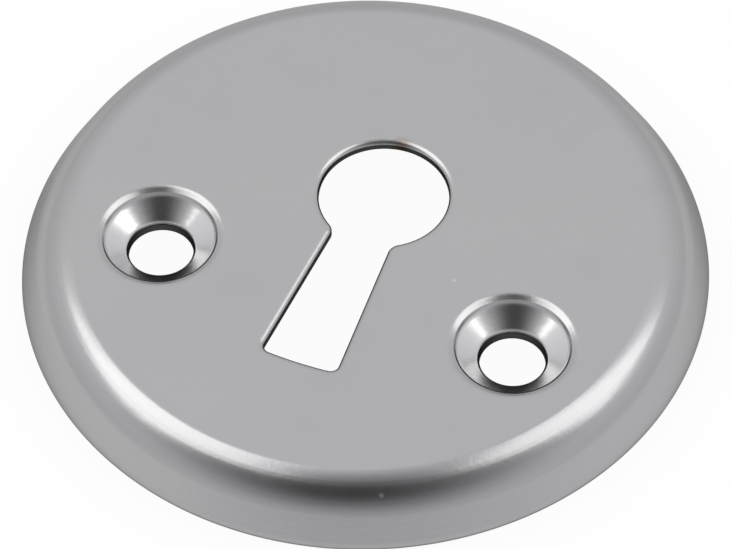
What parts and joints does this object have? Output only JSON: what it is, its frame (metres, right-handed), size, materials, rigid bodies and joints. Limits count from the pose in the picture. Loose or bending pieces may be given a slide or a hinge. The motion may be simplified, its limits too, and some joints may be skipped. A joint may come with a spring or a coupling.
{
  "type": "keyhole escutcheon",
  "caption": "Round pressed sheet-metal key plate with a keyhole, a rounded shoulder and dimpled screw holes on either side of the slot.",
  "frame": {"origin": "on the plate's round axis, in the plane of the rim that lies on the door or drawer front", "axes": "+Z out of the face towards the user, +Y from the slot towards the keyhole's round end, +X along the line through the screw holes"},
  "size_m": [0.05, 0.05, 0.0043],
  "materials": {
    "plate_metal": "satin grey metal, evenly matt on the face, with a soft sheen on the shoulder and in the dimples"
  },
  "bodies": {
    "root": {"escutcheon_plate": "plate_metal"}
  },
  "joints": []
}
